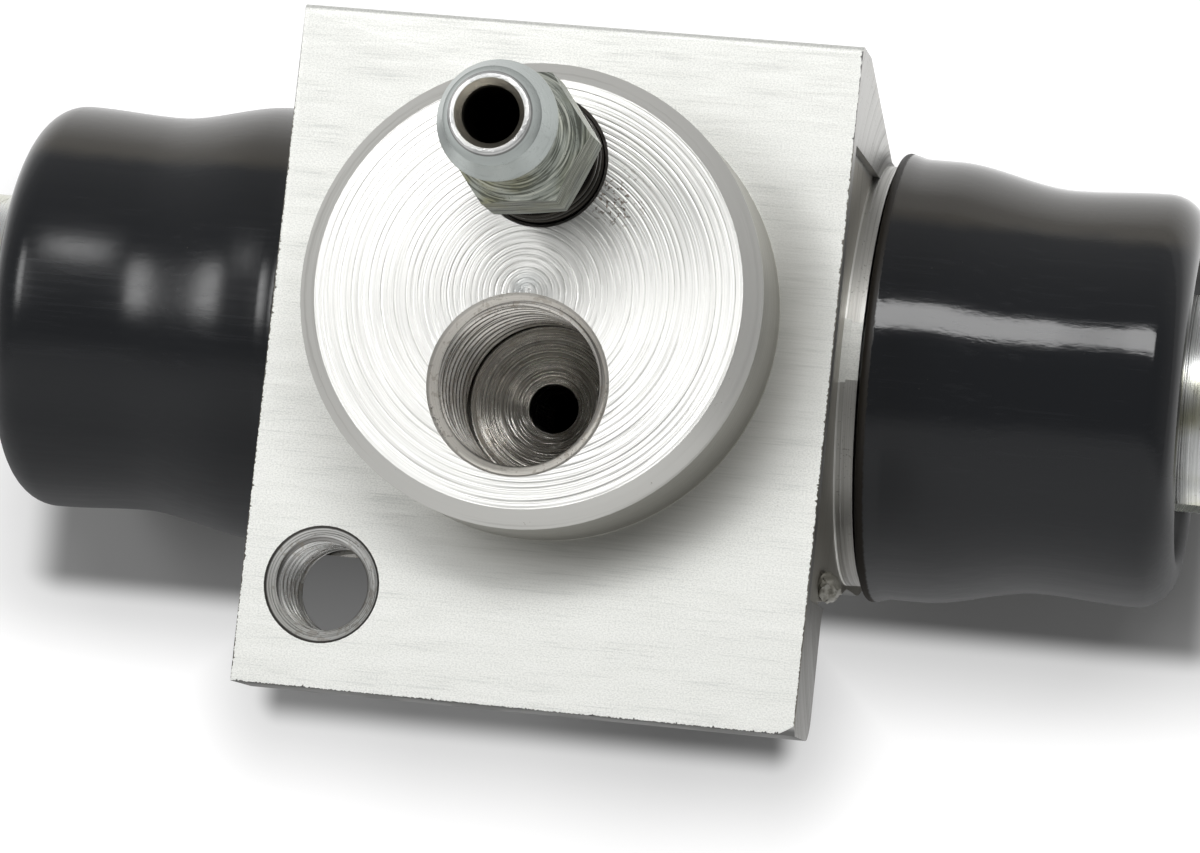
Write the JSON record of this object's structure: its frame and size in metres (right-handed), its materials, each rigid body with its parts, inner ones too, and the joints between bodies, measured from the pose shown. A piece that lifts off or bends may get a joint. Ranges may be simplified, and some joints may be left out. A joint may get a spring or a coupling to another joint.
{
  "type": "wheel cylinder",
  "caption": "Aluminium drum-brake wheel cylinder: a block with a round spigot, a brake line port, a bleed screw and opposed pistons under black rubber boots.",
  "frame": {"origin": "on the spigot axis, in the plane of the mounting face", "axes": "+Z out of the spigot, square to the mounting face; X along the bore; +Y towards the bleed screw"},
  "size_m": [0.0782, 0.039, 0.0563],
  "materials": {
    "aluminium_block": "machined",
    "zinc_steel": "zinc plated",
    "spring_steel": "satin",
    "black_rubber": "satin"
  },
  "bodies": {
    "housing": {"body": "aluminium_block", "boot_left": "black_rubber", "boot_right": "black_rubber", "spring": "spring_steel"},
    "left_piston": {"piston_left": "zinc_steel", "cup_seal_left": "black_rubber", "spring_seat_left": "spring_steel"},
    "right_piston": {"piston_right": "zinc_steel", "cup_seal_right": "black_rubber", "spring_seat_right": "spring_steel"},
    "bleeder": {"bleed_screw": "zinc_steel"}
  },
  "joints": [
    {"name": "left_piston_slide", "type": "slide", "parent": "housing", "child": "left_piston", "axis": [-1, 0, 0], "range_m": [-0.002, 0.007], "deforming": ["boot_left", "spring"]},
    {"name": "right_piston_slide", "type": "slide", "parent": "housing", "child": "right_piston", "axis": [1, 0, 0], "range_m": [-0.002, 0.007], "deforming": ["boot_right", "spring"]},
    {"name": "bleed_screw_turn", "type": "hinge", "parent": "housing", "child": "bleeder", "pos_m": [0, 0.0074, 0.0079], "axis": [0, 0, 1], "range_deg": [0, 270]}
  ]
}
